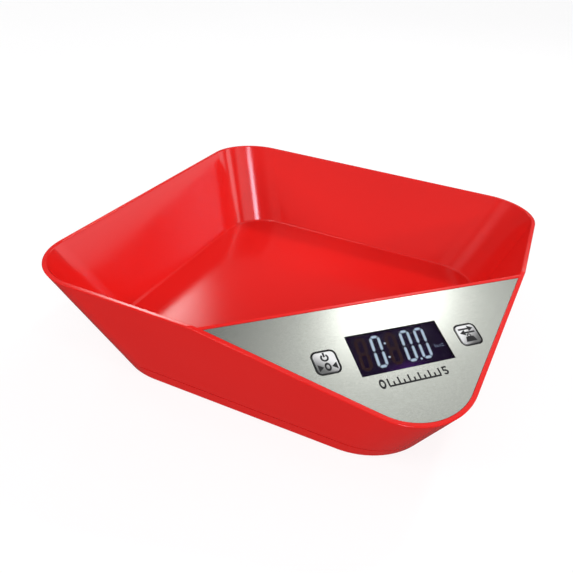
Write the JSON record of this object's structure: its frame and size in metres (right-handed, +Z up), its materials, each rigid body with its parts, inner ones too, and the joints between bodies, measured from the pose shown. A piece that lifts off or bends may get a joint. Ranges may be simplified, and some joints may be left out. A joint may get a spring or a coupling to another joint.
{
  "type": "kitchen scale",
  "caption": "Digital kitchen scale with a built-in square red bowl, a sloping brushed steel display panel at one corner, and a base tray with feet and a battery door.",
  "frame": {"origin": "on the table plane, under the centre of the object's bounding box", "axes": "+Z up; the sloping panel with the display faces -Y; +X is across the panel, to the right of a person reading the display"},
  "size_m": [0.279, 0.2673, 0.0618],
  "materials": {
    "red_shell": "glossy moulded ABS, red",
    "brushed_plate": "fine grain along X",
    "tape": "double-sided foam tape",
    "lens": "clear polished window",
    "lcd": "dark display glass",
    "white_plastic": "white, satin",
    "black_plastic": "black, satin",
    "seal_rubber": "black sealing rubber",
    "strip_rubber": "conductive rubber",
    "board": "green solder mask",
    "steel": "zinc plated",
    "metallic_cap": "silver paint, satin",
    "plated": "nickel plated spring steel",
    "lead_insulation": "coloured insulation",
    "alloy": "milled alloy bar",
    "potting": "white silicone",
    "cell_jacket": "printed jacket on a steel can",
    "foot_rubber": "matt black"
  },
  "bodies": {
    "base": {"base_tray": "red_shell", "battery_bridge_contact": "plated", "battery_positive_contact": "plated", "battery_negative_contact": "plated", "battery_leads": "lead_insulation", "gauge_leads": "lead_insulation", "load_cell": "alloy", "load_cell_base_spacer": "steel", "load_cell_base_screws": "steel", "gauge_potting": "potting", "battery_front": "cell_jacket", "battery_back": "cell_jacket", "foot_front": "foot_rubber", "foot_back": "foot_rubber", "foot_left": "foot_rubber", "foot_right": "foot_rubber"},
    "platform": {"bowl": "red_shell", "faceplate": "brushed_plate", "faceplate_tape": "tape", "display_lens": "lens", "display_gasket": "seal_rubber", "zero_button_seal": "seal_rubber", "unit_button_seal": "seal_rubber", "lcd_glass": "lcd", "lcd_backlight": "white_plastic", "lcd_frame": "black_plastic", "zebra_strips": "strip_rubber", "main_board": "board", "board_screws": "steel", "controller_blob": "black_plastic", "zero_switch": "black_plastic", "unit_switch": "black_plastic", "load_cell_platform_spacer": "steel", "load_cell_platform_screws": "steel"},
    "zero_button": {"zero_button": "metallic_cap", "zero_switch_plunger": "white_plastic"},
    "unit_button": {"unit_button": "metallic_cap", "unit_switch_plunger": "white_plastic"},
    "battery_door": {"battery_door": "red_shell"}
  },
  "joints": [
    {"name": "platform_sink", "type": "slide", "parent": "base", "child": "platform", "axis": [0, 0, -1], "range_m": [0, 0.0004], "stiffness_N_per_m": 160000, "deforming": ["load_cell", "gauge_leads", "battery_leads", "gauge_potting"]},
    {"name": "zero_button_press", "type": "slide", "parent": "platform", "child": "zero_button", "axis": [0, 0.3132, -0.9497], "range_m": [0, 0.0005], "stiffness_N_per_m": 4000},
    {"name": "unit_button_press", "type": "slide", "parent": "platform", "child": "unit_button", "axis": [0, 0.3132, -0.9497], "range_m": [0, 0.0005], "stiffness_N_per_m": 4000},
    {"name": "battery_door_hinge", "type": "hinge", "parent": "base", "child": "battery_door", "pos_m": [0, -0.07096, 0.0015], "axis": [1, 0, 0], "range_deg": [0, 60]}
  ]
}
